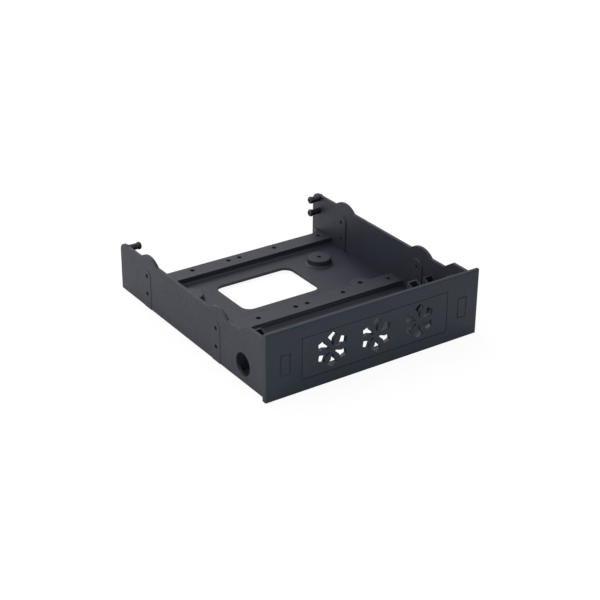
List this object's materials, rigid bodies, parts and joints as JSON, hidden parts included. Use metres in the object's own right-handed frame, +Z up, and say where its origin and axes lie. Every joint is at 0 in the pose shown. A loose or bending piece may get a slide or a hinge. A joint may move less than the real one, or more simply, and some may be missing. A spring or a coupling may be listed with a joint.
{
  "type": "drive bay adapter",
  "caption": "Moulded tray with a detachable vented front bezel that carries smaller storage drives in an optical-drive bay.",
  "frame": {"origin": "on the centre line, at the underside of the tray, in the plane where the front bezel meets the tray", "axes": "+X to the right, +Y from the bezel to the rear, +Z up"},
  "size_m": [0.148, 0.1656, 0.0421],
  "materials": {
    "tray_plastic": "fine matt moulding texture",
    "bezel_plastic": "fine matt moulding texture",
    "plate_plastic": "fine matt moulding texture",
    "pin_plastic": "smooth, near black"
  },
  "bodies": {
    "tray_body": {"tray": "tray_plastic", "side_wall_left": "tray_plastic", "side_wall_right": "tray_plastic", "pin_right_upper": "pin_plastic", "pin_right_lower": "pin_plastic", "pin_left_upper": "pin_plastic", "pin_left_lower": "pin_plastic"},
    "bezel_body": {"front_bezel": "bezel_plastic"},
    "plate_body": {"blanking_plate": "plate_plastic"}
  },
  "joints": [
    {"name": "bezel_pull", "type": "slide", "parent": "tray_body", "child": "bezel_body", "axis": [0, -1, 0], "range_m": [0, 0.025]},
    {"name": "plate_pull", "type": "slide", "parent": "bezel_body", "child": "plate_body", "axis": [0, -1, 0], "range_m": [0, 0.015]}
  ]
}
